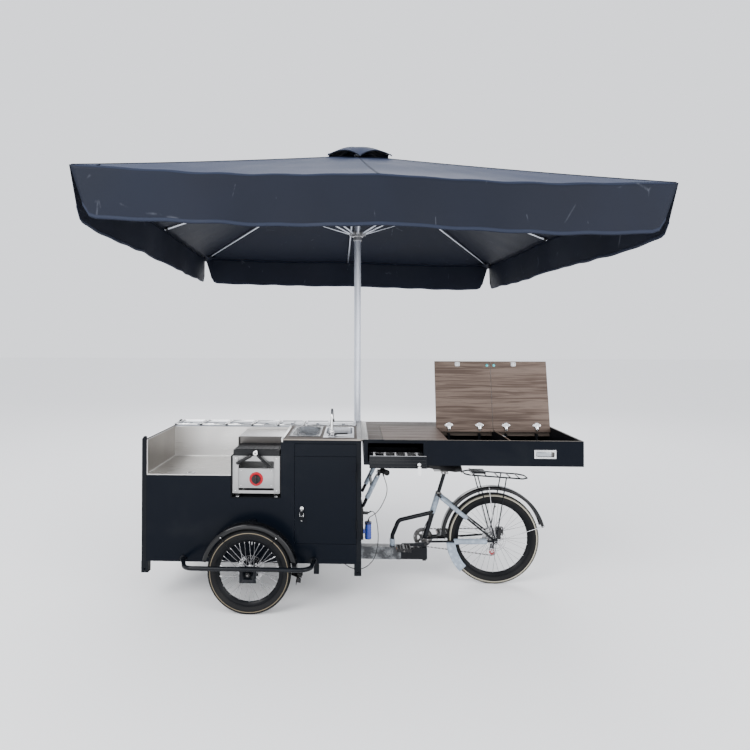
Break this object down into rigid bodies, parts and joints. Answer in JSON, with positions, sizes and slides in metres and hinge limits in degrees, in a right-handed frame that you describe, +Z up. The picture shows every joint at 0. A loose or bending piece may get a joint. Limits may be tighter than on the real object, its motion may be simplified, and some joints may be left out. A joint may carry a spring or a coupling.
{
  "type": "pedal vending cart",
  "caption": "Pedal cargo tricycle food cart with steel display tray, grill, sink, fold-out counter with lids and cash drawer, and a square navy parasol.",
  "frame": {"origin": "floor point under the parasol pole, at the middle of the footprint", "axes": "+X towards the rear wheel, +Y away from the serving side, +Z up"},
  "size_m": [3.1224, 3.1224, 3.1087],
  "materials": {
    "frame_steel": "satin black powder coat",
    "body_panel": "gloss blue-black panel",
    "liner_steel": "brushed stainless sheet",
    "pan_steel": "drawn stainless food pans",
    "sink_wood": "dark grey-brown wood facing",
    "bowl_steel": "brushed stainless bowl",
    "tap_chrome": "polished chrome",
    "tank_plastic": "milky polyethylene",
    "grill_metal": "silver grill housing",
    "cast_plate": "black cast plate",
    "knob_plastic": "gloss black knob",
    "wing_board": "gloss blue-black board",
    "top_board": "dark grey-brown wood facing",
    "hinge_steel": "stainless hinge",
    "handle_steel": "stainless flush handle",
    "lid_wood": "grey-brown wood grain",
    "drawer_metal": "satin black cash drawer",
    "rail_steel": "gloss black rail",
    "fender_black": "gloss black fender",
    "bar_steel": "black bar with foam wrap",
    "lever_alu": "satin alloy lever",
    "pump_blue": "blue pump body",
    "bracket_steel": "black bracket",
    "drawbar_steel": "black square tube",
    "bike_steel": "gloss black frame",
    "post_alu": "satin seat post",
    "saddle_skin": "black saddle cover",
    "rack_wire": "black wire rack",
    "caliper_black": "black brake caliper",
    "mech_black": "black derailleur, red accents",
    "chain_steel": "oiled chain",
    "crank_black": "black cranks",
    "pedal_black": "black resin pedal",
    "cog_steel": "steel cogs",
    "pole_alu": "matte off-white pole",
    "hub_plastic": "black parasol hub",
    "rib_alu": "off-white parasol ribs",
    "canopy_cloth": "navy polyester canopy",
    "tyre_rubber": "black tyre, beige line",
    "wheel_black": "black rim, silver spokes",
    "cable_black": "black cable housing"
  },
  "bodies": {
    "cart": {"chassis": "frame_steel", "near_panel": "body_panel", "far_panel": "body_panel", "front_panel": "body_panel", "rear_panel": "body_panel", "steel_liner": "liner_steel", "pan_set": "pan_steel", "sink_top": "sink_wood", "sink_bowls": "bowl_steel", "faucet_body": "tap_chrome", "water_tanks": "tank_plastic", "grill_body": "grill_metal", "box_hinge_leaf": "hinge_steel", "wheel_guards": "rail_steel", "front_fenders": "fender_black", "handlebar": "bar_steel", "water_pump": "pump_blue", "parasol_brackets": "bracket_steel", "shift_cable": "cable_black", "brake_cable": "cable_black"},
    "wing": {"wing_case": "wing_board", "wing_top": "top_board", "wing_hinge_leaf": "hinge_steel", "flush_handle": "handle_steel"},
    "lid_left": {"lid_shut": "lid_wood"},
    "lid_middle": {"lid_middle": "lid_wood"},
    "lid_end": {"lid_end": "lid_wood"},
    "drawer": {"cash_drawer": "drawer_metal"},
    "door": {"side_door": "body_panel"},
    "bike": {"drawbar": "drawbar_steel", "bike_frame": "bike_steel", "rear_fender": "fender_black", "rack": "rack_wire", "brake_caliper": "caliper_black", "derailleur": "mech_black", "chain": "chain_steel", "frame_cable": "cable_black"},
    "front_near": {"tyre_near": "tyre_rubber", "wheel_near": "wheel_black"},
    "front_far": {"tyre_far": "tyre_rubber", "wheel_far": "wheel_black"},
    "rear_wheel": {"tyre_rear": "tyre_rubber", "wheel_rear": "wheel_black"},
    "crank": {"crankset": "crank_black"},
    "cogs": {"cassette": "cog_steel"},
    "pedal_near": {"pedal_near": "pedal_black"},
    "pedal_far": {"pedal_far": "pedal_black"},
    "seat": {"seat_post": "post_alu", "saddle": "saddle_skin"},
    "spout": {"faucet_spout": "tap_chrome"},
    "tap_lever": {"faucet_lever": "knob_plastic"},
    "grill_lid": {"grill_top": "cast_plate"},
    "grill_dial": {"grill_knob": "knob_plastic"},
    "brake_lever_near": {"lever_near": "lever_alu"},
    "brake_lever_far": {"lever_far": "lever_alu"},
    "parasol": {"parasol_pole": "pole_alu", "parasol_hubs": "hub_plastic", "parasol_ribs": "rib_alu", "parasol_canopy": "canopy_cloth", "parasol_vent": "canopy_cloth"}
  },
  "joints": [
    {"name": "counter_fold", "type": "hinge", "parent": "cart", "child": "wing", "pos_m": [0.027, -0.392, 1.031], "axis": [0, -1, 0], "range_deg": [0, 105]},
    {"name": "lid_shut_hinge", "type": "hinge", "parent": "wing", "child": "lid_left", "pos_m": [0.353, -0.251, 1.013], "axis": [-1, 0, 0], "range_deg": [0, 100]},
    {"name": "lid_middle_hinge", "type": "hinge", "parent": "wing", "child": "lid_middle", "pos_m": [0.75267, -0.251, 1.013], "axis": [1, 0, 0], "range_deg": [0, 100]},
    {"name": "lid_end_hinge", "type": "hinge", "parent": "wing", "child": "lid_end", "pos_m": [1.15234, -0.251, 1.013], "axis": [1, 0, 0], "range_deg": [0, 100]},
    {"name": "cash_drawer_slide", "type": "slide", "parent": "wing", "child": "drawer", "axis": [0, 1, 0], "range_m": [0, 0.178]},
    {"name": "door_hinge", "type": "hinge", "parent": "cart", "child": "door", "pos_m": [-0.011, -0.7565, 0.606], "axis": [0, 0, 1], "range_deg": [0, 100]},
    {"name": "steering", "type": "hinge", "parent": "cart", "child": "bike", "pos_m": [-0.35, -0.392, 0.2], "axis": [0, 0, 1], "range_deg": [-22, 22]},
    {"name": "front_near_axle", "type": "hinge", "parent": "cart", "child": "front_near", "pos_m": [-0.653, -0.851, 0.2525], "axis": [0, 1, 0], "continuous": true},
    {"name": "front_far_axle", "type": "hinge", "parent": "cart", "child": "front_far", "pos_m": [-0.653, 0.067, 0.2525], "axis": [0, 1, 0], "continuous": true},
    {"name": "rear_axle", "type": "hinge", "parent": "bike", "child": "rear_wheel", "pos_m": [0.913, -0.392, 0.305], "axis": [0, 1, 0], "continuous": true},
    {"name": "pedal_crank", "type": "hinge", "parent": "bike", "child": "crank", "pos_m": [0.451, -0.392, 0.281], "axis": [0, 1, 0], "continuous": true},
    {"name": "cassette_turn", "type": "hinge", "parent": "bike", "child": "cogs", "pos_m": [0.913, -0.392, 0.305], "axis": [0, 1, 0], "continuous": true},
    {"name": "pedal_near_axle", "type": "hinge", "parent": "crank", "child": "pedal_near", "pos_m": [0.301, -0.519, 0.273], "axis": [0, 1, 0], "continuous": true},
    {"name": "pedal_far_axle", "type": "hinge", "parent": "crank", "child": "pedal_far", "pos_m": [0.601, -0.265, 0.289], "axis": [0, 1, 0], "continuous": true},
    {"name": "seat_height", "type": "slide", "parent": "bike", "child": "seat", "axis": [0.2873, 0, 0.9578], "range_m": [-0.01, 0.045]},
    {"name": "spout_swing", "type": "hinge", "parent": "cart", "child": "spout", "pos_m": [-0.168, -0.63, 1.06], "axis": [0, 0, 1], "range_deg": [-60, 60]},
    {"name": "tap_lever", "type": "hinge", "parent": "cart", "child": "tap_lever", "pos_m": [-0.14, -0.63, 1.041], "axis": [0, -1, 0], "range_deg": [0, 25]},
    {"name": "grill_lid", "type": "hinge", "parent": "cart", "child": "grill_lid", "pos_m": [-0.632, -0.5415, 0.9383], "axis": [-1, 0, 0], "range_deg": [0, 80]},
    {"name": "grill_dial", "type": "hinge", "parent": "cart", "child": "grill_dial", "pos_m": [-0.632, -0.752, 0.779], "axis": [0, 1, 0], "range_deg": [0, 270]},
    {"name": "brake_lever_near", "type": "hinge", "parent": "cart", "child": "brake_lever_near", "pos_m": [0.126, -0.614, 0.796], "axis": [0, 0, 1], "range_deg": [0, 15]},
    {"name": "brake_lever_far", "type": "hinge", "parent": "cart", "child": "brake_lever_far", "pos_m": [0.126, -0.17, 0.796], "axis": [0, 0, -1], "range_deg": [0, 15]},
    {"name": "parasol_turn", "type": "hinge", "parent": "cart", "child": "parasol", "pos_m": [0, 0, 1], "axis": [0, 0, 1], "continuous": true}
  ],
  "couplings": [
    {"joint": "cassette_turn", "follows": "pedal_crank", "ratio": 1.4}
  ]
}
